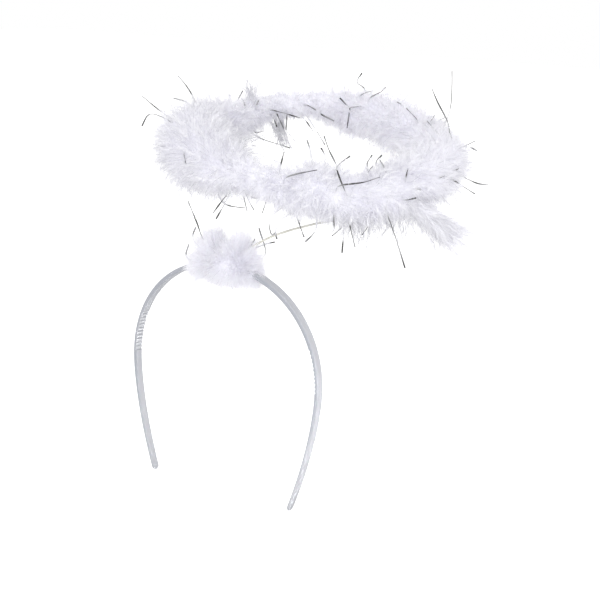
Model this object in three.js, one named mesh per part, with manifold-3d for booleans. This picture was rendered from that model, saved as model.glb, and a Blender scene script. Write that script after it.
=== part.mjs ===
import * as THREE from 'three';
import { mergeVertices } from 'three/addons/utils/BufferGeometryUtils.js';
import Module from 'manifold-3d';

// Halo headband: a narrow plastic headband with a ring of marabou feather held above it on a wire.
// Millimetres, +Z up. The headband lies in the XZ plane with its wearer facing -Y.
// The origin is the underside of the band's crown, where it sits on the head.

// Headband: the half width, height and tip gap are measured to the middle of the band's thickness
const BAND_HALF_WIDTH = 66;
const BAND_HEIGHT = 136;
const WIDEST_DROP = 64.4;
const TIP_HALF_GAP = 49.8;
const CROWN_SQUARENESS = 2.11;
const LEG_CURVE = 1.61;
const CROWN_WIDTH = 6.4;
const CROWN_THICKNESS = 3;
const TIP_WIDTH = 4.6;
const TIP_THICKNESS = 2.2;
const BAND_EDGE_RADIUS = 0.8;

// Comb notches cut across the inside of each leg, measured along the band from the crown
const NOTCH_START = 77;
const NOTCH_PITCH = 2.4;
const NOTCH_COUNT = 11;
const NOTCH_WIDTH = 1.1;
const NOTCH_DEPTH = 0.9;

// Wire: one length is bent into the stem and the ring
const WIRE_DIAMETER = 1.3;
const RING_RADIUS = 68;
const RING_SIDEWAYS = 24.5;
const RING_BACK = 50.4;
const RING_HEIGHT = 66.8;
const RING_TILT = 15;
const RING_TILT_TOWARD = -51;
const STEM_JOIN_ANGLE = 335;

// Clip that holds the wire's foot down on the crown
const FIT_GAP = 0.3;
const CLIP_LENGTH = 12;
const CLIP_WALL = 1.2;
const CLIP_WIDTH = CROWN_WIDTH + 2 * (FIT_GAP + CLIP_WALL);
const CLIP_HEIGHT = CROWN_THICKNESS + 2 * FIT_GAP + WIRE_DIAMETER + CLIP_WALL;
const FOOT_START = CLIP_WALL - CLIP_LENGTH / 2;
const FOOT_HEIGHT = CROWN_THICKNESS + FIT_GAP + WIRE_DIAMETER / 2;

// Marabou strand on the ring: the radius is that of its fullest lobe, out to the ends of its locks
const BOA_RADIUS = 21;
const BOA_CORE_SHARE = 0.7;
const BOA_LOCK_SPACING = 13;
const BOA_LOCK_WIDTH = 11;

// Marabou puff round the crown, measured along the band, front to back and from the crown up
const PUFF_HALF_LENGTH = 19;
const PUFF_HALF_DEPTH = 16;
const PUFF_HALF_HEIGHT = 16;
const PUFF_CORE_SHARE = 0.62;
const PUFF_LOCK_WIDTH = 9;

// How wide a short lock and a long tuft of barbs are along their reach, and how thick for their width
const LOCK_SHAPE = [
  { share: 0, fullness: 0.8 },
  { share: 0.6, fullness: 1 },
];
const TUFT_SHAPE = [
  { share: 0, fullness: 0.8 },
  { share: 0.4, fullness: 1 },
  { share: 0.78, fullness: 0.55 },
];
const LOCK_FLATNESS = 0.6;
const LOCK_ROOT_SHARE = 0.28;

// Unevenness of the strand, as shares of its radius, of the space between locks and of their lean
const CORE_LUMPS = 0.1;
const LOCK_REACH_SPREAD = 0.12;
const LOCK_ROW_SPREAD = 0.3;
const LOCK_TURN_SPREAD = 0.4;
const LOCK_LEAN = 0.35;
const LOCKS_ROUND_STRAND = 3.6;
const FEWEST_LOCKS_ROUND = 3;

// Rounded ends of the band: distance from the tip and width, as shares of the tip's half and whole width
const TIP_ROUNDING = [
  { inset: 0, endShare: 0.45 },
  { inset: 0.2, endShare: 0.78 },
  { inset: 0.55, endShare: 0.95 },
];

// The strand round the ring: its fullness, and how far its middle lies out of the wire and above it,
// as shares of its radius
const STRAND_LOBES = [
  { angle: 0, fullness: 0.84, out: 0.08, up: 0 },
  { angle: 30, fullness: 0.82, out: 0.12, up: 0 },
  { angle: 52, fullness: 0.7, out: 0.08, up: 0 },
  { angle: 75, fullness: 0.74, out: 0, up: 0 },
  { angle: 90, fullness: 0.68, out: 0, up: 0 },
  { angle: 107, fullness: 0.6, out: 0, up: 0.05 },
  { angle: 118, fullness: 0.46, out: 0, up: 0.05 },
  { angle: 126, fullness: 0.2, out: 0, up: 0 },
  { angle: 134, fullness: 0.37, out: 0, up: 0 },
  { angle: 148, fullness: 0.42, out: 0, up: 0 },
  { angle: 162, fullness: 0.56, out: 0, up: -0.08 },
  { angle: 182, fullness: 0.76, out: 0, up: -0.25 },
  { angle: 205, fullness: 0.95, out: 0.1, up: -0.15 },
  { angle: 226, fullness: 1, out: 0.12, up: 0 },
  { angle: 245, fullness: 0.88, out: 0, up: 0.08 },
  { angle: 262, fullness: 0.56, out: 0, up: 0.12 },
  { angle: 272, fullness: 0.46, out: 0, up: 0.1 },
  { angle: 284, fullness: 0.5, out: 0, up: 0.05 },
  { angle: 300, fullness: 0.72, out: 0, up: 0 },
  { angle: 316, fullness: 0.6, out: 0, up: 0 },
  { angle: 334, fullness: 0.76, out: 0, up: 0.05 },
  { angle: 348, fullness: 0.8, out: 0, up: 0.08 },
];

// The strand's free end, the tuft that hangs into the ring and the raised tuft beside it:
// directions out of the ring, along it and up, with reach and width as shares of the strand's radius
const STRAND_TUFTS = [
  { angle: 343, out: 0.6, along: 0.55, up: -0.58, reach: 2.3, width: 0.85 },
  { angle: 147, out: -0.3, along: -0.25, up: -0.92, reach: 1.2, width: 0.6 },
  { angle: 153, out: 0.15, along: 0.1, up: 0.98, reach: 0.9, width: 0.42 },
];

// Tufts of the puff: along is a share of the core's half length, turn is in degrees round the band from
// straight up towards the back, lean is in degrees towards +X, and reach is a share of the puff's half size
const PUFF_TUFTS = [
  { along: -0.45, turn: 0, lean: -6, reach: 1.12 },
  { along: -0.5, turn: 38, lean: -12, reach: 1 },
  { along: -0.48, turn: -40, lean: -14, reach: 0.98 },
  { along: 0.4, turn: 0, lean: 4, reach: 1.15 },
  { along: 0.45, turn: 40, lean: 12, reach: 1 },
  { along: 0.42, turn: -38, lean: 10, reach: 1.02 },
  { along: 0, turn: 20, lean: 0, reach: 0.85 },
  { along: 0, turn: -55, lean: 0, reach: 0.9 },
  { along: -0.55, turn: 85, lean: -30, reach: 1 },
  { along: -0.55, turn: -88, lean: -34, reach: 1 },
  { along: 0.5, turn: 88, lean: 30, reach: 1 },
  { along: 0.52, turn: -84, lean: 32, reach: 0.98 },
  { along: -0.6, turn: 130, lean: -38, reach: 1 },
  { along: -0.6, turn: -132, lean: -36, reach: 1.02 },
  { along: 0.55, turn: 132, lean: 34, reach: 0.98 },
  { along: 0.58, turn: -130, lean: 38, reach: 1 },
  { along: -0.35, turn: 176, lean: -14, reach: 0.98 },
  { along: 0.05, turn: -172, lean: 4, reach: 1.02 },
  { along: 0.38, turn: 178, lean: 16, reach: 0.95 },
  { along: 0, turn: 125, lean: 0, reach: 0.92 },
  { along: 0.05, turn: -125, lean: 0, reach: 0.95 },
  { along: -0.75, turn: 20, lean: -48, reach: 1 },
  { along: -0.8, turn: 180, lean: -55, reach: 0.98 },
  { along: 0.75, turn: -25, lean: 50, reach: 0.98 },
  { along: 0.8, turn: 170, lean: 52, reach: 1 },
];

// Stem from the clip to the ring, as shares of its run over the ground and of its rise
const STEM_BENDS = [
  { along: 0.1, rise: 0.05 },
  { along: 0.136, rise: 0.15 },
  { along: 0.17, rise: 0.208 },
  { along: 0.245, rise: 0.305 },
  { along: 0.326, rise: 0.385 },
  { along: 0.416, rise: 0.457 },
  { along: 0.572, rise: 0.56 },
  { along: 0.76, rise: 0.665 },
  { along: 0.88, rise: 0.79 },
];

// Steps and sides of the faceted surfaces
const LEG_CURVE_STEPS = 120;
const LEG_MEASURE_STEPS = 800;
const BAND_STEPS = 60;
const RING_STEPS = 40;
const STRAND_STEPS = 42;
const STRAND_SIDES = 8;
const LOCK_SIDES = 4;
const PUFF_CORE_SIDES = 12;
const PUFF_CORE_BANDS = 8;
const WIRE_SIDES = 6;
const STEM_STEPS = 30;

const wasm = await Module();
wasm.setup();

// Repeatable numbers from 0 to 1 for the uneven locks
function makeRandom(seed) {
  let state = seed;
  return () => {
    state = (state * 16807) % 2147483647;
    return state / 2147483647;
  };
}

function orientedGeometry(points, faces) {
  let volume = 0;
  for (let i = 0; i < faces.length; i += 3) {
    const [a, b, c] = [points[faces[i]], points[faces[i + 1]], points[faces[i + 2]]];
    volume += a.dot(b.clone().cross(c));
  }
  const ordered = volume < 0 ? faces.toReversed() : faces;
  return new THREE.BufferGeometry().setFromPoints(points).setIndex(ordered);
}

// Closed surface through rings of equal point counts: with no ends the last ring joins the first
function loft(rings, ends) {
  const sides = rings[0].length;
  const points = rings.flat();
  const faces = [];
  const spans = ends ? rings.length - 1 : rings.length;
  for (let ring = 0; ring < spans; ring++) {
    const here = ring * sides;
    const next = ((ring + 1) % rings.length) * sides;
    for (let side = 0; side < sides; side++) {
      const across = (side + 1) % sides;
      faces.push(here + side, here + across, next + across);
      faces.push(here + side, next + across, next + side);
    }
  }
  if (ends) {
    const first = points.push(ends[0]) - 1;
    const last = points.push(ends[1]) - 1;
    const lastRing = (rings.length - 1) * sides;
    for (let side = 0; side < sides; side++) {
      const across = (side + 1) % sides;
      faces.push(first, across, side);
      faces.push(last, lastRing + side, lastRing + across);
    }
  }
  return orientedGeometry(points, faces);
}

function toSolid(geometry) {
  const bare = geometry.clone();
  bare.deleteAttribute('normal');
  bare.deleteAttribute('uv');
  const merged = mergeVertices(bare, 1e-4);
  return new wasm.Manifold(new wasm.Mesh({
    numProp: 3,
    vertProperties: merged.attributes.position.array,
    triVerts: new Uint32Array(merged.index.array),
  }));
}

function toGeometry(solid) {
  const mesh = solid.getMesh();
  const geometry = new THREE.BufferGeometry();
  geometry.setAttribute('position', new THREE.BufferAttribute(mesh.vertProperties, 3));
  geometry.setIndex(new THREE.BufferAttribute(mesh.triVerts, 1));
  geometry.computeVertexNormals();
  return geometry;
}

function joinAll(geometries) {
  return wasm.Manifold.union(geometries.map(toSolid));
}

// Band centreline from the middle of the crown down one leg
function legCentreline() {
  const crown = CROWN_THICKNESS / 2;
  const points = [];
  for (let i = 0; i <= LEG_CURVE_STEPS; i++) {
    const angle = (Math.PI / 2) * (i / LEG_CURVE_STEPS);
    const reach = Math.sin(angle) ** (2 / CROWN_SQUARENESS);
    const fall = 1 - Math.cos(angle) ** (2 / CROWN_SQUARENESS);
    points.push(new THREE.Vector3(BAND_HALF_WIDTH * reach, 0, crown - WIDEST_DROP * fall));
  }
  for (let i = 1; i <= LEG_CURVE_STEPS; i++) {
    const share = i / LEG_CURVE_STEPS;
    const inward = (BAND_HALF_WIDTH - TIP_HALF_GAP) * share ** LEG_CURVE;
    const z = crown - WIDEST_DROP - (BAND_HEIGHT - WIDEST_DROP) * share;
    points.push(new THREE.Vector3(BAND_HALF_WIDTH - inward, 0, z));
  }
  return new THREE.CatmullRomCurve3(points);
}

const leg = legCentreline();
leg.arcLengthDivisions = LEG_MEASURE_STEPS;
const LEG_LENGTH = leg.getLength();

// Place and directions on the band at a distance from the crown: negative distances are the other leg
function bandFrame(distance) {
  const share = Math.min(Math.abs(distance) / LEG_LENGTH, 1);
  const side = distance < 0 ? -1 : 1;
  const point = leg.getPointAt(share);
  const along = leg.getTangentAt(share);
  point.x *= side;
  along.z *= side;
  if (distance === 0) along.set(1, 0, 0);
  return {
    point,
    along,
    outward: new THREE.Vector3(-along.z, 0, along.x),
    width: THREE.MathUtils.lerp(CROWN_WIDTH, TIP_WIDTH, share),
    thickness: THREE.MathUtils.lerp(CROWN_THICKNESS, TIP_THICKNESS, share),
  };
}

// Rounded rectangle across the band
function bandSection(distance, endShare, grow) {
  const frame = bandFrame(distance);
  const halfWidth = (frame.width / 2) * endShare + grow;
  const halfThickness = (frame.thickness / 2) * Math.sqrt(endShare) + grow;
  const radius = Math.min(BAND_EDGE_RADIUS, halfWidth * 0.8, halfThickness * 0.8);
  const ring = [];
  for (let corner = 0; corner < 4; corner++) {
    const toBack = corner === 0 || corner === 3 ? 1 : -1;
    const toOut = corner < 2 ? 1 : -1;
    for (const part of [0, 1]) {
      const angle = (corner + part) * (Math.PI / 2);
      const y = toBack * (halfWidth - radius) + radius * Math.cos(angle);
      const out = toOut * (halfThickness - radius) + radius * Math.sin(angle);
      ring.push(frame.point.clone().addScaledVector(frame.outward, out).setY(y));
    }
  }
  return ring;
}

// The whole band, or a fatter copy of it that clears its neighbours
function bandGeometry(grow = 0) {
  const straightReach = LEG_LENGTH - TIP_WIDTH / 2;
  const tipRing = ({ inset, endShare }, side) =>
    bandSection(side * (LEG_LENGTH - (TIP_WIDTH / 2) * inset), endShare, grow);
  const rings = TIP_ROUNDING.map((row) => tipRing(row, -1));
  for (let i = 0; i <= BAND_STEPS; i++) {
    rings.push(bandSection(straightReach * ((2 * i) / BAND_STEPS - 1), 1, grow));
  }
  rings.push(...TIP_ROUNDING.toReversed().map((row) => tipRing(row, 1)));
  return loft(rings, [bandFrame(-LEG_LENGTH).point, bandFrame(LEG_LENGTH).point]);
}

function notchCutter(distance) {
  const frame = bandFrame(distance);
  const cutter = new THREE.BoxGeometry(NOTCH_WIDTH, CROWN_WIDTH * 2, NOTCH_DEPTH * 2);
  const across = new THREE.Vector3().crossVectors(frame.outward, frame.along);
  const place = new THREE.Matrix4().makeBasis(frame.along, across, frame.outward);
  const innerFace = frame.point.clone().addScaledVector(frame.outward, -frame.thickness / 2);
  return cutter.applyMatrix4(place.setPosition(innerFace));
}

function headbandGeometry() {
  const cutters = [];
  for (let i = 0; i < NOTCH_COUNT; i++) {
    const distance = NOTCH_START + i * NOTCH_PITCH;
    cutters.push(notchCutter(distance), notchCutter(-distance));
  }
  return toGeometry(toSolid(bandGeometry()).subtract(joinAll(cutters)));
}

// Ring of the halo: outward and upward directions and the place at an angle from its wearer's left
const tiltToward = THREE.MathUtils.degToRad(RING_TILT_TOWARD);
const tilt = THREE.MathUtils.degToRad(RING_TILT);
const ringCentre = new THREE.Vector3(RING_SIDEWAYS, RING_BACK, RING_HEIGHT);
const ringUp = new THREE.Vector3(
  Math.sin(tilt) * Math.cos(tiltToward),
  Math.sin(tilt) * Math.sin(tiltToward),
  Math.cos(tilt),
);
const ringSide = new THREE.Vector3(1, 0, 0).addScaledVector(ringUp, -ringUp.x).normalize();
const ringRear = new THREE.Vector3().crossVectors(ringUp, ringSide);

function ringFrame(angleDegrees) {
  const angle = THREE.MathUtils.degToRad(angleDegrees);
  const outward = ringSide.clone().multiplyScalar(Math.cos(angle));
  outward.addScaledVector(ringRear, Math.sin(angle));
  const along = new THREE.Vector3().crossVectors(ringUp, outward);
  return { point: ringCentre.clone().addScaledVector(outward, RING_RADIUS), outward, along };
}

function stemCurve(grow) {
  const join = ringFrame(STEM_JOIN_ANGLE).point;
  const rise = join.z - FOOT_HEIGHT;
  const points = [
    new THREE.Vector3(FOOT_START - grow, 0, FOOT_HEIGHT),
    new THREE.Vector3(CLIP_LENGTH / 4, 0, FOOT_HEIGHT),
    new THREE.Vector3(CLIP_LENGTH / 2, 0, FOOT_HEIGHT),
  ];
  for (const bend of STEM_BENDS) {
    const height = FOOT_HEIGHT + rise * bend.rise;
    points.push(new THREE.Vector3(join.x * bend.along, join.y * bend.along, height));
  }
  points.push(join);
  return new THREE.CatmullRomCurve3(points);
}

// The bent wire, or a fatter copy of it that clears its neighbours
function wireSolid(grow = 0) {
  const radius = WIRE_DIAMETER / 2 + grow;
  const section = new THREE.Shape();
  for (let side = 0; side < WIRE_SIDES; side++) {
    const angle = (2 * Math.PI * side) / WIRE_SIDES;
    const [x, y] = [radius * Math.cos(angle), radius * Math.sin(angle)];
    if (side === 0) section.moveTo(x, y);
    else section.lineTo(x, y);
  }
  const stem = new THREE.ExtrudeGeometry(section, {
    steps: STEM_STEPS,
    bevelEnabled: false,
    extrudePath: stemCurve(grow),
  });
  const ring = new THREE.TorusGeometry(RING_RADIUS, radius, WIRE_SIDES, RING_STEPS);
  ring.applyMatrix4(new THREE.Matrix4().makeBasis(ringSide, ringRear, ringUp).setPosition(ringCentre));
  return joinAll([stem, ring]);
}

// Outer block of the clip, or a larger copy of it that clears its neighbours
function clipBlock(grow = 0) {
  const block = new THREE.BoxGeometry(CLIP_LENGTH + 2 * grow, CLIP_WIDTH + 2 * grow, CLIP_HEIGHT + 2 * grow);
  return block.translate(0, 0, CLIP_HEIGHT / 2);
}

// Saddle over the crown, with a slot that lets the wire's foot lie on the band
function clipGeometry() {
  const mouth = new THREE.BoxGeometry(CLIP_LENGTH * 2, CROWN_WIDTH + 2 * FIT_GAP, CROWN_THICKNESS);
  const slot = new THREE.BoxGeometry(CLIP_LENGTH, WIRE_DIAMETER + 2 * FIT_GAP, CROWN_THICKNESS);
  slot.translate(FOOT_START - FIT_GAP + CLIP_LENGTH / 2, 0, FOOT_HEIGHT - CROWN_THICKNESS / 2);
  const saddle = toSolid(clipBlock()).subtract(joinAll([bandGeometry(FIT_GAP), mouth, slot]));
  return toGeometry(saddle.subtract(wireSolid(FIT_GAP)));
}

// One pointed lock of feather barbs, widest along its side direction and thinner across it
function lock(root, reach, side, width, shape = LOCK_SHAPE) {
  const thin = new THREE.Vector3().crossVectors(reach, side).normalize();
  const rings = shape.map(({ share, fullness }) => {
    const middle = root.clone().addScaledVector(reach, share);
    const halfWidth = (width * fullness) / 2;
    const ring = [];
    for (let i = 0; i < LOCK_SIDES; i++) {
      const angle = (2 * Math.PI * i) / LOCK_SIDES;
      const point = middle.clone().addScaledVector(side, Math.cos(angle) * halfWidth);
      ring.push(point.addScaledVector(thin, Math.sin(angle) * halfWidth * LOCK_FLATNESS));
    }
    return ring;
  });
  return loft(rings, [root.clone(), root.clone().add(reach)]);
}

// The strand's middle and radius at an angle, with the directions out of the ring and along it
function strandFrame(angle) {
  const rows = STRAND_LOBES;
  let next = rows.findIndex((row) => row.angle > angle);
  if (next < 0) next = rows.length;
  const before = rows[next - 1];
  const after = next < rows.length ? rows[next] : { ...rows[0], angle: 360 };
  const share = (angle - before.angle) / (after.angle - before.angle);
  const between = (column) => BOA_RADIUS * THREE.MathUtils.lerp(before[column], after[column], share);
  const { point, outward, along } = ringFrame(angle);
  const middle = point.addScaledVector(outward, between('out')).addScaledVector(ringUp, between('up'));
  return { middle, radius: between('fullness'), outward, along };
}

function strandCore(random) {
  const rings = [];
  for (let step = 0; step < STRAND_STEPS; step++) {
    const frame = strandFrame((360 * step) / STRAND_STEPS);
    const ring = [];
    for (let side = 0; side < STRAND_SIDES; side++) {
      const turn = (2 * Math.PI * (side + 0.5 * (step % 2))) / STRAND_SIDES;
      const lump = frame.radius * BOA_CORE_SHARE * (1 + CORE_LUMPS * (2 * random() - 1));
      const point = frame.middle.clone().addScaledVector(frame.outward, lump * Math.cos(turn));
      ring.push(point.addScaledVector(ringUp, lump * Math.sin(turn)));
    }
    rings.push(ring);
  }
  return loft(rings);
}

function strandLocks(random) {
  const locks = [];
  const count = Math.round((2 * Math.PI * RING_RADIUS) / BOA_LOCK_SPACING);
  for (let i = 0; i < count; i++) {
    const { middle, radius, outward, along } = strandFrame((360 * (i + LOCK_ROW_SPREAD * random())) / count);
    const wanted = Math.round((LOCKS_ROUND_STRAND * radius) / BOA_LOCK_WIDTH);
    const around = Math.max(FEWEST_LOCKS_ROUND, wanted);
    for (let j = 0; j < around; j++) {
      const turn = (2 * Math.PI * (j + 0.5 * (i % 2) + LOCK_TURN_SPREAD * random())) / around;
      const reach = outward.clone().multiplyScalar(Math.cos(turn));
      const lean = LOCK_LEAN * (2 * random() - 1);
      reach.addScaledVector(ringUp, Math.sin(turn)).addScaledVector(along, lean).normalize();
      const root = middle.clone().addScaledVector(reach, radius * LOCK_ROOT_SHARE);
      reach.multiplyScalar(radius * (1 - LOCK_ROOT_SHARE + LOCK_REACH_SPREAD * random()));
      locks.push(lock(root, reach, along, Math.min(BOA_LOCK_WIDTH, radius)));
    }
  }
  return locks;
}

function tuftLock(tuft) {
  const frame = ringFrame(tuft.angle);
  const reach = frame.outward.clone().multiplyScalar(tuft.out);
  reach.addScaledVector(frame.along, tuft.along).addScaledVector(ringUp, tuft.up);
  reach.normalize().multiplyScalar(BOA_RADIUS * tuft.reach);
  const side = new THREE.Vector3().crossVectors(reach, frame.outward).normalize();
  return lock(frame.point, reach, side, BOA_RADIUS * tuft.width, TUFT_SHAPE);
}

function boaGeometry() {
  const random = makeRandom(71);
  const pieces = [strandCore(random), ...strandLocks(random), ...STRAND_TUFTS.map(tuftLock)];
  return toGeometry(joinAll(pieces).subtract(wireSolid(FIT_GAP)));
}

function puffLock(tuft) {
  const turn = THREE.MathUtils.degToRad(tuft.turn);
  const lean = THREE.MathUtils.degToRad(tuft.lean);
  const direction = new THREE.Vector3(
    Math.sin(lean),
    Math.cos(lean) * Math.sin(turn),
    Math.cos(lean) * Math.cos(turn),
  );
  const halfSizes = new THREE.Vector3(PUFF_HALF_LENGTH, PUFF_HALF_DEPTH, PUFF_HALF_HEIGHT);
  const root = new THREE.Vector3(PUFF_HALF_LENGTH * PUFF_CORE_SHARE * tuft.along, 0, CROWN_THICKNESS / 2);
  const reach = direction.multiply(halfSizes).multiplyScalar(tuft.reach);
  const side = new THREE.Vector3(1, 0, 0).cross(reach).cross(reach).normalize();
  return lock(root, reach, side, PUFF_LOCK_WIDTH);
}

function puffGeometry() {
  const core = new THREE.SphereGeometry(PUFF_CORE_SHARE, PUFF_CORE_SIDES, PUFF_CORE_BANDS);
  core.scale(PUFF_HALF_LENGTH, PUFF_HALF_DEPTH, PUFF_HALF_HEIGHT);
  core.translate(0, 0, CROWN_THICKNESS / 2);
  const fluff = joinAll([core, ...PUFF_TUFTS.map(puffLock)]);
  const hollow = joinAll([clipBlock(FIT_GAP), bandGeometry(FIT_GAP)]);
  return toGeometry(fluff.subtract(hollow).subtract(wireSolid(FIT_GAP)));
}

function piece(name, geometry, color, roughness, metalness) {
  const mesh = new THREE.Mesh(geometry, new THREE.MeshStandardMaterial({ color, roughness, metalness }));
  mesh.name = name;
  return mesh;
}

const haloHeadband = new THREE.Group();
haloHeadband.add(
  piece('headband', headbandGeometry(), 0xdcdee3, 0.35, 0),
  piece('wire_clip', clipGeometry(), 0xe6e4dc, 0.5, 0),
  piece('halo_wire', toGeometry(wireSolid()), 0xd9d4c0, 0.4, 0),
  piece('halo_boa', boaGeometry(), 0xf1f0f8, 0.95, 0),
  piece('crown_puff', puffGeometry(), 0xefeef7, 0.95, 0),
);

export default haloHeadband;
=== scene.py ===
import math
from collections import namedtuple

import bpy
import numpy as np
from mathutils import Matrix, Vector


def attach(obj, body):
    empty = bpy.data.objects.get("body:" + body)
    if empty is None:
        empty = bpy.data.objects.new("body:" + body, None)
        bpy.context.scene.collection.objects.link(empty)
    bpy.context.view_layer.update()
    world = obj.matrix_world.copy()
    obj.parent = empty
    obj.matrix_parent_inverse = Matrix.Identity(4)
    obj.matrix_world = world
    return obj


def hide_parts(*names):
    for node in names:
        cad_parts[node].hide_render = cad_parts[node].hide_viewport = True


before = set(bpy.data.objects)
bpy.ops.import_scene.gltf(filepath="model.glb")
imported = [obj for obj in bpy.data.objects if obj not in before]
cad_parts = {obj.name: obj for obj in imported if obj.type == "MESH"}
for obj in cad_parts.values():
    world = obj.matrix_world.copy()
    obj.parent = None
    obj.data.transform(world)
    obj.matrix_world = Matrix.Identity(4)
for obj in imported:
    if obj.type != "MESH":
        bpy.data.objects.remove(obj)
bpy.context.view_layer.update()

# Sizes and places are in millimetres, like the solids, and MM turns them into metres
MM = 0.001
UP = np.array([0.0, 0.0, 1.0])

# Camera: it looks at the headband's left front from a little above
CAMERA_PLACE = (437.94, -579.80, 157.87)
CAMERA_RIGHT = (0.82510571, 0.56329494, 0.04358177)
CAMERA_UP = (-0.16718717, 0.16975193, 0.97120169)
CAMERA_BACK = (0.53967491, -0.80863038, 0.23423898)
CAMERA_LENS, CAMERA_SENSOR = 78.0, 36.0
PICTURE_SIDE = 600
FOCAL = CAMERA_LENS / CAMERA_SENSOR * PICTURE_SIDE

# Share of the wire's height above which it is all ring
RING_ONLY_ABOVE = 0.65

# Strand of marabou on the ring: the radius of a lobe of fullness 1, and the core's share of the radius.
# Out and up say how far the strand's middle lies off the wire, as shares of that radius
STRAND_RADIUS = 21.0
CORE_SHARE = 0.6
Lobe = namedtuple("Lobe", "angle fullness out up")
LOBES = (
    Lobe(0, 0.78, 0.04, 0.06),
    Lobe(30, 0.78, 0.2, 0),
    Lobe(52, 0.74, 0.1, -0.06),
    Lobe(75, 0.81, -0.1, 0.1),
    Lobe(90, 0.75, -0.1, 0.1),
    Lobe(107, 0.68, -0.04, -0.02),
    Lobe(118, 0.58, 0, 0.14),
    Lobe(126, 0.4, 0, 0.13),
    Lobe(134, 0.4, 0, 0.1),
    Lobe(148, 0.44, 0, 0.06),
    Lobe(162, 0.56, 0, -0.08),
    Lobe(182, 0.84, 0.06, -0.18),
    Lobe(205, 1.03, 0.2, -0.08),
    Lobe(226, 1.04, 0.18, 0.05),
    Lobe(245, 0.94, 0, 0.08),
    Lobe(262, 0.6, 0, 0.16),
    Lobe(272, 0.52, 0, 0.2),
    Lobe(284, 0.54, 0, 0.16),
    Lobe(292, 0.6, 0, 0.06),
    Lobe(302, 0.88, 0, 0.2),
    Lobe(316, 0.66, 0, -0.02),
    Lobe(334, 0.8, 0, -0.04),
    Lobe(348, 0.72, -0.02, 0.14),
)
STRAND_QUARTERS = ("right", "back", "left", "front")
STRAND_START = -45

# Waves that make the strand uneven in girth and in shade, round the ring and round the strand
Wave = namedtuple("Wave", "height round_ring round_strand start")
LUMPS = (
    Wave(0.06, 13, 2, 0.7),
    Wave(0.05, 23, -1, 2.1),
    Wave(0.04, 37, 3, 4.0),
)
PATCHES = (
    Wave(0.5, 9, 1, 1.3),
    Wave(0.5, 17, -2, 0.4),
)

# Barbs and wisps, which are long single barbs: widths, and stations along each
BARB_WIDTH, BARB_STATIONS = 0.3, 3
WISP_WIDTH, WISP_STATIONS = 0.26, 6
WIDTH_SHARES, NARROWING = (0.7, 1.25), 0.65

# Down on a quarter of the strand. Roots, reach and ends are shares of the radius: roots and reach are
# ranges, and ends are a middle and a spread, like shades, which run from 0 to 1. Leans say how far
# directions stray from straight out. Bends are a spread and a sag, as shares of a barb's length, and
# a wisp's lengths are a shape and a scale
STRAND_SHADE, PATCH_SHADE = 0.965, 0.02
CLUMPS, BARBS_IN_CLUMP = 900, 40
CLUMP_DEGREES, CLUMP_TURN = 1.8, 0.22
CLUMP_LEAN, CLUMP_BEND, CLUMP_ENDS = 0.5, 0.25, (0.96, 0.06)
BARB_ROOTS, BARB_REACH = (0.35, 0.6), (0.8, 1.08)
BARB_LEAN, BARB_BENDS, BARB_SHADE_SPREAD = 0.42, (0.14, 0.1), 0.03

FRONDS, BARBS_IN_FROND = 600, 34
FROND_ROOTS, FROND_REACH, FROND_EXTRA = (0.45, 0.75), (0.9, 1.22), 2
# Fronds a little darker and fringe wisps grey: painted shade on thin fibres that catch less light
FROND_LEAN, FROND_PAINTED_SHADE, FROND_SHADE_SPREAD = 0.85, 0.06, 0.05

FRINGE_WISPS, FRINGE_ROOTS = 1200, 0.6
FRINGE_LEAN, FRINGE_BENDS = 0.4, (0.14, 0.15)
FRINGE_LENGTHS, LONGEST_FRINGE, FRINGE_SHADES = (2.0, 2.0), 6.0, (0.35, 0.15)

# Any frond: where barbs start on its shaft, their share of its length, and how they branch off
SHAFT_START, TIP_SHORTENING = 0.05, 0.5
FROND_BARB_SHARE, FROND_BARB_LENGTHS = 0.42, (0.6, 1.2)
FROND_SPREAD, FROND_CURL, FROND_UNEVENNESS = 36, 0.3, 0.45
FROND_BARB_SWEEP, FROND_BARB_BENDS, FROND_BARB_SHADE_SPREAD = 0.12, (0.18, 0.08), 0.04

# What hangs under the strand's front edge, between two ring angles: wisps, and fronds by their
# lengths past the strand, shades, barbs on each, and spread in degrees
HANGING_ANGLES, HANGING_TURN, HANGING_ROOTS, HANGING_SHADE_SPREAD = (314, 361), 0.5, 0.7, 0.1
HANGING_OUT, HANGING_DOWN, HANGING_LEAN = 0.8, 0.5, 0.3
# Hanging wisps and fronds, and wisps on the puff, are grey: painted shade on thin down
HANGING_WISPS, HANGING_BENDS, WISP_SHADES = 420, (0.25, 0.2), (0.3, 0.1)
HANGING_LENGTHS, LONGEST_HANGING = (2.2, 3.2), 16.2
HangingFronds = namedtuple("HangingFronds", "count shortest longest shade barbs spread curl")
HANGING_FRONDS = (
    HangingFronds(100, 2, 8, 0.75, 22, 24, 0.3),
    HangingFronds(40, 6, 16, 0.4, 14, 7, 0.15),
)

# Free end of the strand, as a long thin tuft and its thicker root, and three loose tufts: one that
# hangs, one that stands up and one across the hole. Directions go out of the ring, along it and up,
# reach and root widths are shares of the strand's radius, and spread is in degrees off the axis
Tuft = namedtuple("Tuft", "angle out along up reach root_width spread fronds barbs shade")
# The low shades of the hanging, raised and inner tufts are painted shade on thin down
STRAND_TUFTS = (
    Tuft(343, 0.48, 0.65, -0.645, 2.3, 0.18, 5, 110, 70, 0.84),
    Tuft(343, 0.48, 0.65, -0.645, 1.35, 0.56, 14, 90, 44, 0.86),
    Tuft(147, -0.3, -0.25, -0.92, 1.2, 0.65, 8, 24, 26, 0.4),
    Tuft(160, 0.1, 0, 0.98, 1, 0.6, 20, 20, 20, 0.6),
    Tuft(230, -1, 0, 0.05, 2, 1.2, 20, 34, 14, 0.4),
)
TUFT_STARTS, TUFT_ENDS, TUFT_TIP_WIDTH = (0, 0.35), (0.7, 1), 0.1
TUFT_LEAN_SHARE, TUFT_BARB_SPREAD, TUFT_CURL = 0.6, 20, 0.1
TUFT_SHADE_SPREAD = 0.12

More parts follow.
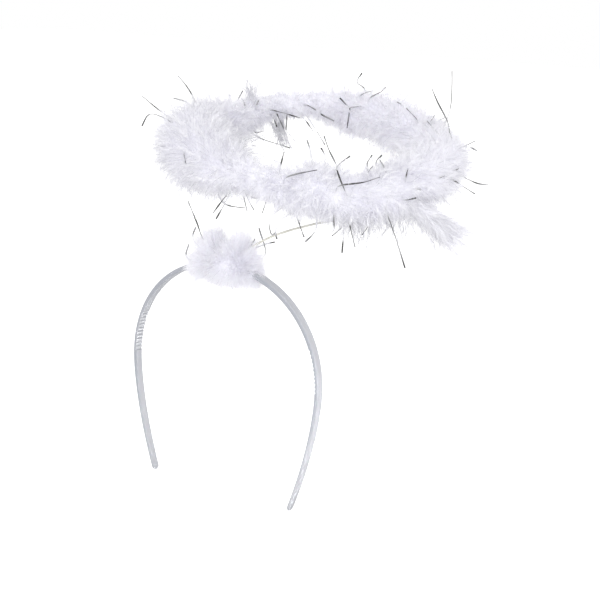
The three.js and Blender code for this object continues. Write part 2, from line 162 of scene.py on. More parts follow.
# Puff round the crown: half sizes along the band, front to back and up, and its brushes of barbs.
# Along is a share of the core's half length, turn is in degrees round the band from straight up
# towards the back, lean is in degrees towards +X, and reach is a share of the half size
PUFF_HALF_SIZES = np.array([19.0, 16.0, 16.0])
PUFF_MIDDLE_HEIGHT = 2.5
PUFF_CORE_SIZES = np.array([12.0, 9.8, 9.2])
PUFF_CORE_MIDDLE = np.array([5.0, 0.0, 1.0])
PUFF_UPRIGHT_STRETCH, PUFF_LOWER_SHARE = 1.2, 0.84
PUFF_SHADES = (0.97, 0.02)
PuffTuft = namedtuple("PuffTuft", "along turn lean reach")
PUFF_TUFTS = (
    PuffTuft(-0.6, 0, -12, 1.14),
    PuffTuft(-0.5, 38, -18, 1.05),
    PuffTuft(-0.48, -40, -22, 1.08),
    PuffTuft(0.5, 0, 9, 1.17),
    PuffTuft(0.45, 40, 14, 1.08),
    PuffTuft(0.42, -38, 10, 1.02),
    PuffTuft(0, 20, 0, 0.65),
    PuffTuft(0, -55, 0, 0.78),
    PuffTuft(-0.55, 85, -30, 1.1),
    PuffTuft(-0.55, -88, -34, 1.12),
    PuffTuft(0.5, 88, 30, 1),
    PuffTuft(0.52, -84, 32, 0.98),
    PuffTuft(-0.6, 130, -38, 1),
    PuffTuft(-0.6, -132, -36, 1.12),
    PuffTuft(0.55, 132, 34, 0.98),
    PuffTuft(0.58, -130, 38, 1),
    PuffTuft(-0.35, 176, -14, 0.98),
    PuffTuft(0.05, -172, 4, 0.95),
    PuffTuft(0.38, 178, 16, 0.85),
    PuffTuft(0, 125, 0, 0.92),
    PuffTuft(0.05, -125, 0, 0.95),
    PuffTuft(-0.75, 20, -48, 1.02),
    PuffTuft(-0.8, 180, -55, 0.98),
    PuffTuft(0.75, -25, 50, 0.98),
    PuffTuft(0.8, 170, 52, 1),
)
BRUSH_BARBS, BRUSH_WIDTH = 560, 11.5
BRUSH_STARTS, BRUSH_LENGTHS, BRUSH_ENDS = (0.1, 0.65), (0.35, 0.7), (0.94, 1.14)
BRUSH_ROOT_WIDTH, BRUSH_WIDENING, BRUSH_TIP_WIDTH, BRUSH_FLARE, BRUSH_TIP_STRAY = 0.35, 0.5, 0.5, 0.7, 0.6
BRUSH_BENDS = (0.12, 0.05)

# Down between the puff's brushes: clumps and fronds all round, wisps that stand out, and a collar
# of barbs where the puff runs out along the band
PUFF_CLUMPS, PUFF_CLUMP_SIZES = 400, np.array([25.0, 14.5, 12.5])
PUFF_BARB_ROOTS, PUFF_BARB_REACH = (0.4, 0.62), (0.8, 1.02)
PUFF_BARB_SPREAD, PUFF_BARB_LEAN, PUFF_BARB_BEND, PUFF_BARB_SAG = 0.17, 0.6, 0.25, 0.08
PUFF_FRONDS, PUFF_FROND_ROOTS, PUFF_FROND_REACH, PUFF_FROND_LEAN = 240, 0.3, (0.4, 0.68), 0.25
PUFF_FROND_SHADES = (0.9, 0.05)
PUFF_WISPS, PUFF_WISP_ROOTS, PUFF_WISP_SHARE = 260, 0.7, 0.25
PUFF_WISP_LENGTHS, PUFF_WISP_BENDS = (2.0, 1.6), (0.3, 0.15)
COLLAR_BARBS, COLLAR_REACH, COLLAR_LENGTHS, COLLAR_BENDS = 5200, (8, 20), (4, 8), (0.2, 0.08)
COLLAR_ROUND, COLLAR_ALONG, COLLAR_LEAN = 0.9, 0.8, 0.3
COLLAR_SHADES = (0.95, 0.04)

# Headband: the sizes of the solid that the smooth band stands for
BAND_HALF_WIDTH, BAND_HEIGHT = 66.0, 136.0
WIDEST_DROP, TIP_HALF_GAP = 64.4, 49.8
CROWN_SQUARENESS, LEG_CURVE = 2.11, 1.61
CROWN_WIDTH, CROWN_THICKNESS = 6.4, 3.0
TIP_WIDTH, TIP_THICKNESS = 4.6, 2.2
BAND_EDGE_RADIUS = 0.8
BAND_STEPS, TIP_STEPS, CORNER_STEPS, LEG_STEPS = 240, 8, 6, 500
NOTCH_START, NOTCH_PITCH, NOTCH_COUNT = 77.0, 2.4, 11
NOTCH_WIDTH, NOTCH_DEPTH, NOTCH_WALL = 1.1, 0.9, 0.03
BAND_SHARP_DEGREES = 40
# Painted shade on the edges above one height, fading out down to another, and painted light on the toothed
# stretches
EDGE_FADED_HEIGHT, EDGE_SHADED_HEIGHT = -125.0, -75.0
TOOTHED_HEIGHT, TOOTHED_REACH, TOOTHED_INSIDE = -48.7, 12.3, -20.0

# Wire: the stem from the clip to the ring, as shares of its run over the ground and of its rise
WIRE_RADIUS = 0.65
WIRE_SIDES, STEM_STEPS, RING_STEPS = 12, 90, 160
WIRE_FOOT_START, WIRE_FOOT_END, WIRE_FOOT_HEIGHT = -4.8, 6.0, 3.95
STEM_JOIN_ANGLE = 335
Bend = namedtuple("Bend", "along rise")
STEM_BENDS = (
    Bend(0.1, 0.05),
    Bend(0.136, 0.15),
    Bend(0.17, 0.208),
    Bend(0.245, 0.305),
    Bend(0.326, 0.385),
    Bend(0.416, 0.457),
    Bend(0.572, 0.56),
    Bend(0.76, 0.665),
    Bend(0.88, 0.79),
)

# Tinsel strands that the picture shows, as its pixels along each. Each is traced inward, by pixels,
# to its root on the wire, and lies a little above the down. It is painted pale up to its first pixel,
# then dark with painted glints: painted reflection
TINSEL_HALF_WIDTH, TINSEL_HALF_THICKNESS = 0.44, 0.22
TINSEL_SIDES, TINSEL_STATIONS, TINSEL_TWIST = 4, 18, (0.1, 0.5)
TINSEL_INWARD, TINSEL_TRIES, FARTHEST_PENALTY = 26, 12, 0.8
TINSEL_LIFT, TINSEL_WINDOW, TINSEL_FADE = 1.5, 14, 1.5
TINSEL_PAINTED_GLINTS, TINSEL_SHADES = (6, 20), (0.75, 1)
HIDDEN_TINSEL, HIDDEN_LEAN, HIDDEN_BEND, HIDDEN_LENGTHS = 60, 0.45, 0.15, (3, 9)
TINSEL_PIXELS = (
    ((191, 93), (185, 84), (178, 76)),
    ((159, 110), (142, 96)),
    ((184, 101), (173, 98)),
    ((172, 123), (166, 119), (148, 115), (142, 126)),
    ((245, 106), (243, 100)),
    ((256, 106), (259, 100)),
    ((221, 134), (211, 112)),
    ((216, 117), (222, 113)),
    ((184, 153), (186, 164)),
    ((272, 110), (287, 114), (300, 118)),
    ((277, 114), (284, 129)),
    ((287, 114), (286, 130)),
    ((255, 132), (264, 131)),
    ((258, 137), (281, 145), (290, 148)),
    ((284, 152), (281, 164)),
    ((306, 121), (313, 131)),
    ((316, 130), (325, 145)),
    ((337, 167), (334, 160), (329, 150), (324, 136)),
    ((337, 167), (350, 156)),
    ((345, 191), (340, 179), (337, 170)),
    ((324, 153), (321, 148)),
    ((307, 140), (309, 146)),
    ((287, 177), (297, 174), (317, 170)),
    ((307, 105), (316, 110)),
    ((321, 114), (334, 121)),
    ((339, 186), (365, 182), (380, 177)),
    ((376, 163), (382, 155)),
    ((380, 160), (384, 167)),
    ((367, 166), (372, 155)),
    ((368, 173), (373, 166)),
    ((340, 98), (350, 107), (362, 106)),
    ((364, 88), (357, 82), (362, 73)),
    ((361, 95), (371, 91)),
    ((371, 97), (379, 93), (386, 87)),
    ((347, 128), (350, 108)),
    ((397, 102), (401, 104)),
    ((406, 108), (417, 120)),
    ((452, 142), (450, 133), (445, 116), (438, 103), (432, 89)),
    ((450, 110), (452, 84), (452, 71)),
    ((440, 120), (446, 117)),
    ((427, 121), (435, 130), (440, 137)),
    ((430, 122), (435, 115)),
    ((467, 145), (475, 141)),
    ((472, 148), (477, 151)),
    ((463, 177), (480, 184), (488, 185)),
    ((453, 180), (464, 187), (475, 194)),
    ((456, 170), (460, 168)),
    ((439, 178), (450, 173)),
    ((416, 188), (421, 190)),
    ((408, 169), (406, 177)),
    ((405, 200), (416, 198)),
    ((388, 216), (397, 242), (405, 268)),
    ((188, 201), (197, 223), (203, 239)),
    ((196, 227), (193, 234)),
    ((189, 244), (186, 254)),
    ((226, 196), (213, 213)),
    ((224, 205), (216, 219)),
    ((227, 205), (245, 208)),
    ((251, 205), (254, 210)),
    ((259, 228), (265, 255)),
    ((255, 239), (250, 247)),
    ((269, 224), (273, 235), (275, 233)),
    ((276, 236), (277, 239)),
    ((270, 243), (275, 242)),
    ((298, 220), (304, 237)),
    ((334, 215), (334, 230)),
    ((342, 227), (332, 236)),
    ((343, 241), (342, 253)),
    ((350, 226), (355, 247)),
    ((368, 226), (362, 235)),
    ((314, 233), (305, 242)),
)

# Light: a white world, a floor that glows a little, and square lights in metres, degrees and watts
WORLD_STRENGTH, FLOOR_GLOW = 0.9, 0.48
FLOOR_HALF_SIDE, FLOOR_HEIGHT = 6.0, -0.2
Light = namedtuple("Light", "name place aim side spread power")
LIGHTS = (
    Light("key", (0.55, -1.05, 0.5), (0, 0, 0), 0.6, 180, 4.7),
    Light("low_side", (0.6, 0.0, -0.14), (0, 0, 0), 0.2, 180, 0.6),
    Light("leg", (0.5, -0.3, -0.17), (0.062, 0, -0.105), 0.12, 14, 0.03),
    Light("rear", (-0.1, -0.8, 0.75), (0.025, 0.11, 0.08), 0.04, 7, 0.0085),
    Light("puff", (0.1, -0.9, 0.25), (0.003, 0, 0.008), 0.04, 4, 0.0015),
)
# How often light is scattered on inside the down
DIFFUSE_BOUNCES = 16

# Map of shades: shade across, way along each barb or strand up, and a barb's width in the map
UV_MAP = "OFBake"
SHADE_STEP = 0.02


def solid_points(node):
    """Corners of one of the frame's solids."""
    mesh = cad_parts[node].data
    places = np.empty(len(mesh.vertices) * 3)
    mesh.vertices.foreach_get("co", places)
    return places.reshape(-1, 3) / MM


def unit(vectors):
    return vectors / np.linalg.norm(vectors, axis=-1, keepdims=True)


Ring = namedtuple("Ring", "centre radius side rear up")


def measure_ring():
    """The wire ring's centre, radius and directions, from the wire's solid."""
    wire = solid_points("halo_wire")
    low, high = wire[:, 2].min(), wire[:, 2].max()
    points = wire[wire[:, 2] > low + RING_ONLY_ABOVE * (high - low)]
    up = np.linalg.svd(points - points.mean(0))[2][2]
    up = up * np.sign(up[2])
    side = unit(np.array([1.0, 0.0, 0.0]) - up[0] * up)
    rear = np.cross(up, side)
    across, back = points @ side, points @ rear
    equations = np.stack([2 * across, 2 * back, np.ones(len(points))], 1)
    x, y, rest = np.linalg.lstsq(equations, across**2 + back**2, rcond=None)[0]
    centre = x * side + y * rear + (points @ up).mean() * up
    return Ring(centre, math.sqrt(rest + x * x + y * y), side, rear, up)


ring = measure_ring()


def on_ring(degrees):
    """Places on the wire ring, with the directions out of it and along it."""
    angle = np.radians(np.asarray(degrees, float))[..., None]
    outward = ring.side * np.cos(angle) + ring.rear * np.sin(angle)
    along = ring.rear * np.cos(angle) - ring.side * np.sin(angle)
    return ring.centre + ring.radius * outward, outward, along


def lobe_column(column, degrees):
    """A column of the lobes between its rows, round the whole ring."""
    rows = LOBES + (LOBES[0]._replace(angle=LOBES[0].angle + 360),)
    angles = [row.angle for row in rows]
    return STRAND_RADIUS * np.interp(np.mod(degrees, 360), angles, [getattr(row, column) for row in rows])


def strand_radius(degrees):
    return lobe_column("fullness", degrees)


def strand_middle(degrees):
    """The strand's middle, which isn't always on the wire, with the ring's directions there."""
    place, outward, along = on_ring(degrees)
    out, up = lobe_column("out", degrees), lobe_column("up", degrees)
    return place + outward * out[..., None] + ring.up * up[..., None], outward, along


def waves(rows, degrees, turn):
    """Sum of waves at ring angles and at turns round the strand."""
    angle = np.radians(degrees)
    phases = [row.round_ring * angle + row.round_strand * turn + row.start for row in rows]
    return sum(row.height * np.sin(phase) for row, phase in zip(rows, phases))


def new_material(name):
    material = bpy.data.materials.new(name)
    material.use_nodes = True
    nodes, links = material.node_tree.nodes, material.node_tree.links
    return material, nodes, links, nodes["Principled BSDF"]


def ramp(nodes, links, value, stops):
    """A colour between two, by a value."""
    node = nodes.new("ShaderNodeValToRGB")
    for element, (place, color) in zip(node.color_ramp.elements, stops):
        element.position = place
        element.color = (*color, 1)
    links.new(value, node.inputs["Fac"])
    return node.outputs["Color"]


def parts_of(nodes, links, vector):
    """A vector's parts in X, Y and Z."""
    split = nodes.new("ShaderNodeSeparateXYZ")
    links.new(vector, split.inputs["Vector"])
    return split.outputs


def noise(nodes, links, place, scale, detail):
    node = nodes.new("ShaderNodeTexNoise")
    node.inputs["Scale"].default_value = scale
    node.inputs["Detail"].default_value = detail
    links.new(place.outputs["Object"], node.inputs["Vector"])
    return node.outputs["Fac"]


def add_bump(nodes, links, shader, height, strength, distance):
    bump = nodes.new("ShaderNodeBump")
    bump.inputs["Strength"].default_value = strength
    bump.inputs["Distance"].default_value = distance * MM
    links.new(height, bump.inputs["Height"])
    links.new(bump.outputs["Normal"], shader.inputs["Normal"])


def new_mix(nodes, links, first, second):
    """A mix of two colours, where the second may be left for the caller to set."""
    mix = nodes.new("ShaderNodeMix")
    mix.data_type = "RGBA"
    links.new(first, mix.inputs["A"])
    if second is not None:
        links.new(second, mix.inputs["B"])
    return mix


def new_math(nodes, links, operation, *values):
    node = nodes.new("ShaderNodeMath")
    node.operation = operation
    for socket, value in zip(node.inputs, values):
        links.new(value, socket)
    return node


def map_shades(nodes, links, across, lengthwise):
    """A colour from the map of barbs or strands: shade by shade, times a change along each."""
    place = nodes.new("ShaderNodeUVMap")
    place.uv_map = UV_MAP
    spot = parts_of(nodes, links, place.outputs["UV"])
    shade = ramp(nodes, links, spot["X"], across)
    mix = new_mix(nodes, links, shade, ramp(nodes, links, spot["Y"], lengthwise))
    mix.blend_type = "MULTIPLY"
    mix.inputs["Factor"].default_value = 1.0
    return mix.outputs["Result"]


def marabou_material():
    material, nodes, links, shader = new_material("marabou_barbs")
    # The grey end of the shades is painted shade on wisps and fringe, and the darker tips are painted
    # shade too
    across = [(0.0, (0.56, 0.56, 0.59)), (0.96, (0.977, 0.974, 1.0))]
    lengthwise = [(0.4, (1.0, 1.0, 1.0)), (1.0, (0.98, 0.98, 0.975))]
    links.new(map_shades(nodes, links, across, lengthwise), shader.inputs["Base Color"])
    shader.inputs["Roughness"].default_value = 0.9
    shader.inputs["Specular IOR Level"].default_value = 0.15
    return material


def tinsel_material():
    material, nodes, links, shader = new_material("tinsel")
    # Pale to dark is painted reflection: pale where hidden, dark with painted glints where the foil shows
    across = [(0.0, (0.93, 0.93, 0.95)), (0.75, (0.09, 0.09, 0.085))]
    lengthwise = [(0.0, (1.0, 1.0, 1.0)), (1.0, (0.9, 0.9, 0.92))]
    links.new(map_shades(nodes, links, across, lengthwise), shader.inputs["Base Color"])
    shader.inputs["Metallic"].default_value = 0.8
    shader.inputs["Roughness"].default_value = 0.3
    return material


def core_material():
    material, nodes, links, shader = new_material("marabou_core")
    fluff = noise(nodes, links, nodes.new("ShaderNodeTexCoord"), 220, 6)
    shade = ramp(nodes, links, fluff, [(0.3, (0.93, 0.93, 0.955)), (0.7, (0.975, 0.972, 0.995))])
    links.new(shade, shader.inputs["Base Color"])
    add_bump(nodes, links, shader, fluff, 0.5, 0.6)
    shader.inputs["Roughness"].default_value = 0.95
    shader.inputs["Specular IOR Level"].default_value = 0.1
    return material


def painted_edge_shade(nodes, links, color, facing, height):
    """The colour with painted shade: darker on what faces the front or back, fading out towards the tips.
    """
    edge = new_math(nodes, links, "ABSOLUTE", facing["Y"])
    stops = [(0.35, (1.0, 1.0, 1.0)), (0.95, (0.82, 0.83, 0.86))]
    darker = ramp(nodes, links, edge.outputs["Value"], stops)
    painted_shade = new_mix(nodes, links, color, darker)
    painted_shade.blend_type = "MULTIPLY"
    fading = nodes.new("ShaderNodeMapRange")
    fading.inputs["From Min"].default_value = EDGE_FADED_HEIGHT * MM
    fading.inputs["From Max"].default_value = EDGE_SHADED_HEIGHT * MM
    links.new(height["Z"], fading.inputs["Value"])
    links.new(fading.outputs["Result"], painted_shade.inputs["Factor"])
    return painted_shade.outputs["Result"]


def painted_lit_teeth(nodes, links, color, facing, height):
    """The colour with painted light: paler on the inside of the legs between the heights of the comb
    notches, where the teeth catch the light.
    """
    inside = new_math(nodes, links, "MULTIPLY", height["X"], facing["X"])
    comb = nodes.new("ShaderNodeMapRange")
    comb.inputs["From Min"].default_value = TOOTHED_INSIDE * MM
    comb.inputs["From Max"].default_value = 0
    comb.inputs["To Min"].default_value = 1
    comb.inputs["To Max"].default_value = 0
    links.new(inside.outputs["Value"], comb.inputs["Value"])
    level = new_math(nodes, links, "COMPARE", height["Z"])
    level.inputs[1].default_value = TOOTHED_HEIGHT * MM
    level.inputs[2].default_value = TOOTHED_REACH * MM
    teeth = new_math(nodes, links, "MULTIPLY", comb.outputs["Result"], level.outputs["Value"])
    paler = new_mix(nodes, links, color, None)
    paler.inputs["B"].default_value = (0.64, 0.65, 0.68, 1)
    links.new(teeth.outputs["Value"], paler.inputs["Factor"])
    return paler.outputs["Result"]


def band_material():
    material, nodes, links, shader = new_material("band_plastic")
    place = nodes.new("ShaderNodeTexCoord")
    facing = parts_of(nodes, links, place.outputs["Normal"])
    height = parts_of(nodes, links, place.outputs["Object"])
    flow = noise(nodes, links, place, 35, 3)
    color = ramp(nodes, links, flow, [(0.3, (0.46, 0.47, 0.505)), (0.75, (0.54, 0.55, 0.58))])
    # Painted shade: the front and back edges darker, less so towards the tips
    color = painted_edge_shade(nodes, links, color, facing, height)
    # Painted light: the teeth paler on the inside of the legs
    color = painted_lit_teeth(nodes, links, color, facing, height)
    links.new(color, shader.inputs["Base Color"])
    grain = noise(nodes, links, place, 900, 4)
    polish = ramp(nodes, links, grain, [(0.3, (0.28, 0.28, 0.28)), (0.75, (0.46, 0.46, 0.46))])
    links.new(polish, shader.inputs["Roughness"])
    add_bump(nodes, links, shader, grain, 0.15, 0.1)
    return material


def wire_material():
    material, nodes, links, shader = new_material("coated_wire")
    coat = noise(nodes, links, nodes.new("ShaderNodeTexCoord"), 300, 2)
    shade = ramp(nodes, links, coat, [(0.3, (0.61, 0.6, 0.54)), (0.7, (0.8, 0.79, 0.72))])
    links.new(shade, shader.inputs["Base Color"])
    shader.inputs["Roughness"].default_value = 0.4
    return material


# Corners, faces with equal numbers of corners, and each corner's place in the map
Surface = namedtuple("Surface", "vertices faces uv")


def join_surfaces(surfaces):
    starts = np.cumsum([0] + [len(surface.vertices) for surface in surfaces[:-1]])
    return Surface(
        np.concatenate([surface.vertices for surface in surfaces]),
        np.concatenate([surface.faces + start for surface, start in zip(surfaces, starts)]),
        np.concatenate([surface.uv for surface in surfaces]),
    )


def add_piece(name, surface, material, replaced):
    faces = np.ascontiguousarray(surface.faces, np.int32)
    mesh = bpy.data.meshes.new(name)
    mesh.vertices.add(len(surface.vertices))
    mesh.vertices.foreach_set("co", (surface.vertices * MM).astype(np.float32).ravel())
    mesh.loops.add(faces.size)
    mesh.loops.foreach_set("vertex_index", faces.ravel())
    mesh.polygons.add(len(faces))
    starts = np.arange(len(faces), dtype=np.int32) * faces.shape[1]
    mesh.polygons.foreach_set("loop_start", starts)
    mesh.polygons.foreach_set("use_smooth", np.ones(len(faces), bool))
    mesh.update(calc_edges=True)
    if surface.uv is not None:
        layer = mesh.uv_layers.new(name=UV_MAP)
        layer.uv.foreach_set("vector", surface.uv[faces.ravel()].astype(np.float32).ravel())
    mesh.materials.append(material)
    piece = bpy.data.objects.new(name, mesh)
    bpy.context.scene.collection.objects.link(piece)
    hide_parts(*replaced)
    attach(piece, "root")
    return piece


def random_bends(rng, count, bend, sag):
    return rng.normal(0, bend, (count, 3)) - sag * UP


def ribbons(rng, roots, directions, lengths, bends, shades, width=BARB_WIDTH, stations=BARB_STATIONS):
    """Narrow ribbons that taper to a point, bent in proportion to the square of the way along."""
    count = len(roots)
    along = np.linspace(0, 1, stations)
    share, reach = along[None, :, None], lengths[:, None, None]
    paths = roots[:, None] + directions[:, None] * reach * share + bends[:, None] * reach * share**2
    flats = unit(np.cross(directions, rng.normal(size=(count, 3))))
    half_widths = width / 2 * rng.uniform(*WIDTH_SHARES, count)[:, None] * (1 - NARROWING * along)
    half = flats[:, None] * half_widths[:, :, None]
    corners = 2 * stations - 1
    vertices = np.empty((count, corners, 3))
    vertices[:, 0:-1:2] = (paths - half)[:, :-1]
    vertices[:, 1:-1:2] = (paths + half)[:, :-1]
    vertices[:, -1] = paths[:, -1]
    middle = np.clip(shades, SHADE_STEP, 1 - SHADE_STEP)[:, None]
    uv = np.empty((count, corners, 2))
    uv[:, 0:-1:2, 0] = middle - SHADE_STEP / 2
    uv[:, 1:-1:2, 0] = middle + SHADE_STEP / 2
    uv[:, -1, 0] = middle[:, 0]
    uv[:, 0:-1:2, 1] = along[:-1]
    uv[:, 1:-1:2, 1] = along[:-1]
    uv[:, -1, 1] = 1
    faces = []
    for step in range(0, corners - 3, 2):
        faces.append((step, step + 1, step + 3))
        faces.append((step, step + 3, step + 2))
    faces.append((corners - 3, corners - 2, corners - 1))
    starts = np.arange(count)[:, None, None] * corners
    triangles = (np.array(faces)[None] + starts).reshape(-1, 3)
    return Surface(vertices.reshape(-1, 3), triangles, uv.reshape(-1, 2))


def fronds(rng, roots, directions, lengths, shades, barbs_each, spread=FROND_SPREAD, curl=FROND_CURL):
    """Small feathers: barbs branch off both sides of a curved shaft."""
    count = len(roots)
    curls = rng.normal(0, curl, (count, 3))
    sides = unit(np.cross(directions, rng.normal(size=(count, 3))))
    of = np.repeat(np.arange(count), barbs_each)
    n = len(of)
    share = rng.uniform(SHAFT_START, 1, n)[:, None]
    reach = lengths[of][:, None]
    starts = roots[of] + (directions[of] * share + curls[of] * share**2) * reach
    shaft = unit(directions[of] + 2 * curls[of] * share)
    branching = np.radians(rng.normal(spread, spread / 3, n))[:, None]
    hands = rng.choice([-1.0, 1.0], n)[:, None]
    sideways = unit(sides[of] * hands + rng.normal(0, FROND_UNEVENNESS, (n, 3)))
    aims = unit(shaft * np.cos(branching) + sideways * np.sin(branching))
    longest = lengths[of] * FROND_BARB_SHARE * (1 - TIP_SHORTENING * share[:, 0])
    barb_lengths = longest * rng.uniform(*FROND_BARB_LENGTHS, n)
    bends = shaft * FROND_BARB_SWEEP + random_bends(rng, n, *FROND_BARB_BENDS)
    barb_shades = shades[of] + rng.normal(0, FROND_BARB_SHADE_SPREAD, n)
    return ribbons(rng, starts, aims, barb_lengths, bends, barb_shades)


Spots = namedtuple("Spots", "middle radial around along radius shade")


def strand_spots(angle, turn):
    """Directions and size of the strand at ring angles and turns round its own middle."""
    middle, outward, along = strand_middle(angle)
    cos, sin = np.cos(turn)[:, None], np.sin(turn)[:, None]
    radial = outward * cos + ring.up * sin
    around = ring.up * cos - outward * sin
    radius = strand_radius(angle) * (1 + waves(LUMPS, angle, turn))
    shade = STRAND_SHADE + PATCH_SHADE * waves(PATCHES, angle, turn)
    return Spots(middle, radial, around, along, radius, shade)


def roots_at(spots, share):
    """Places inside the strand, at shares of its radius."""
    return spots.middle + spots.radial * (spots.radius * share)[:, None]


def leaning(spots, way):
    """Directions out of the strand that lean along it and round it."""
    return unit(spots.radial + spots.along * way[:, :1] + spots.around * way[:, 1:])


def even_angles(rng, first, last, count):
    """Ring angles from first to last, closer together where the strand is fuller."""
    grid = np.linspace(first, last, 400)
    share = np.cumsum(strand_radius(grid))
    return np.interp(rng.uniform(share[0], share[-1], count), share, grid)


def strand_clumps(rng, first, last):
    """Short barbs in clumps: those of one clump lean, bend and end nearly alike."""
    clump_angle = even_angles(rng, first, last, CLUMPS)
    clump_turn = rng.uniform(0, math.tau, CLUMPS)
    clump_way = rng.normal(0, CLUMP_LEAN, (CLUMPS, 2))
    clump_bend = rng.normal(0, CLUMP_BEND, (CLUMPS, 3))
    clump_shade = rng.normal(0, BARB_SHADE_SPREAD, CLUMPS)
    clump_end = rng.normal(*CLUMP_ENDS, CLUMPS)
    of = np.repeat(np.arange(CLUMPS), BARBS_IN_CLUMP)
    n = len(of)
    angle = clump_angle[of] + rng.normal(0, CLUMP_DEGREES, n)
    spots = strand_spots(angle, clump_turn[of] + rng.normal(0, CLUMP_TURN, n))
    root_share = rng.uniform(*BARB_ROOTS, n)
    directions = leaning(spots, clump_way[of] + rng.normal(0, BARB_LEAN, (n, 2)))
    lengths = spots.radius * (clump_end[of] * rng.uniform(*BARB_REACH, n) - root_share)
    bends = clump_bend[of] + random_bends(rng, n, *BARB_BENDS)
    shades = spots.shade + clump_shade[of] + rng.normal(0, BARB_SHADE_SPREAD, n)
    return ribbons(rng, roots_at(spots, root_share), directions, lengths, bends, shades)


def strand_fronds(rng, first, last):
    """Small feathers all over the strand, leaning every way."""
    spots = strand_spots(even_angles(rng, first, last, FRONDS), rng.uniform(0, math.tau, FRONDS))
    root_share = rng.uniform(*FROND_ROOTS, FRONDS)
    directions = leaning(spots, rng.normal(0, FROND_LEAN, (FRONDS, 2)))
    lengths = spots.radius * (rng.uniform(*FROND_REACH, FRONDS) - root_share)
    lengths += rng.uniform(0, FROND_EXTRA, FRONDS)
    shades = spots.shade - FROND_PAINTED_SHADE + rng.normal(0, FROND_SHADE_SPREAD, FRONDS)
    return fronds(rng, roots_at(spots, root_share), directions, lengths, shades, BARBS_IN_FROND)


def strand_wisps(rng, first, last):
    """Single long barbs that stand out of the strand."""
    n = FRINGE_WISPS
    spots = strand_spots(even_angles(rng, first, last, n), rng.uniform(0, math.tau, n))
    directions = unit(spots.radial + rng.normal(0, FRINGE_LEAN, (n, 3)))
    past = np.minimum(rng.gamma(*FRINGE_LENGTHS, n), LONGEST_FRINGE)
    lengths = (1 - FRINGE_ROOTS) * spots.radius + past
    bends = random_bends(rng, n, *FRINGE_BENDS)
    shades = rng.normal(*FRINGE_SHADES, n)
    roots = roots_at(spots, FRINGE_ROOTS)
    return ribbons(rng, roots, directions, lengths, bends, shades, WISP_WIDTH, WISP_STATIONS)


def hanging_barbs(rng, count):
    """Places, directions and root depths for what hangs under the strand's front edge."""
    angle = rng.uniform(*HANGING_ANGLES, count)
    spots = strand_spots(angle, rng.normal(-math.pi / 2, HANGING_TURN, count))
    stray = rng.normal(0, HANGING_LEAN, (count, 3))
    directions = unit(spots.radial * HANGING_OUT - UP * HANGING_DOWN + stray)
    return roots_at(spots, HANGING_ROOTS), directions, (1 - HANGING_ROOTS) * spots.radius


def hanging_wisps(rng):
    n = HANGING_WISPS
    roots, directions, inside = hanging_barbs(rng, n)
    past = np.minimum(rng.gamma(*HANGING_LENGTHS, n), LONGEST_HANGING)
    bends = random_bends(rng, n, *HANGING_BENDS)
    shades = rng.normal(*WISP_SHADES, n)
    return ribbons(rng, roots, directions, inside + past, bends, shades, WISP_WIDTH, WISP_STATIONS)


def hanging_fronds(rng, row):
    roots, directions, inside = hanging_barbs(rng, row.count)
    lengths = inside + rng.uniform(row.shortest, row.longest, row.count)
    shades = rng.normal(row.shade, HANGING_SHADE_SPREAD, row.count)
    return fronds(rng, roots, directions, lengths, shades, row.barbs, row.spread, row.curl)


def tuft_fronds(rng, tuft):
    """Fronds that run side by side from a wide root to a narrow tip."""
    place, outward, along = on_ring(tuft.angle)
    axis = unit(outward * tuft.out + along * tuft.along + ring.up * tuft.up)
    side = unit(np.cross(axis, outward))
    thin = np.cross(axis, side)
    count = tuft.fronds
    disc = np.sqrt(rng.random(count)) * tuft.root_width * STRAND_RADIUS / 2
    turn = rng.uniform(0, math.tau, count)
    off = (side * np.cos(turn)[:, None] + thin * np.sin(turn)[:, None]) * disc[:, None]
    start = rng.uniform(*TUFT_STARTS, count)
    end = rng.uniform(*TUFT_ENDS, count)
    reach = STRAND_RADIUS * tuft.reach
    roots = place + axis * (reach * start)[:, None] + off * (1 - start)[:, None]
    toward = place + axis * (reach * end)[:, None] + off * TUFT_TIP_WIDTH - roots
    lengths = np.linalg.norm(toward, axis=1)
    lean = TUFT_LEAN_SHARE * math.tan(math.radians(tuft.spread))
    directions = unit(toward / lengths[:, None] + rng.normal(0, lean, (count, 3)))
    shades = rng.normal(tuft.shade, TUFT_SHADE_SPREAD, count)
    return fronds(rng, roots, directions, lengths, shades, tuft.barbs, TUFT_BARB_SPREAD, TUFT_CURL)


def puff_direction(tuft):
    turn, lean = math.radians(tuft.turn), math.radians(tuft.lean)
    return np.array([math.sin(lean), math.cos(lean) * math.sin(turn), math.cos(lean) * math.cos(turn)])


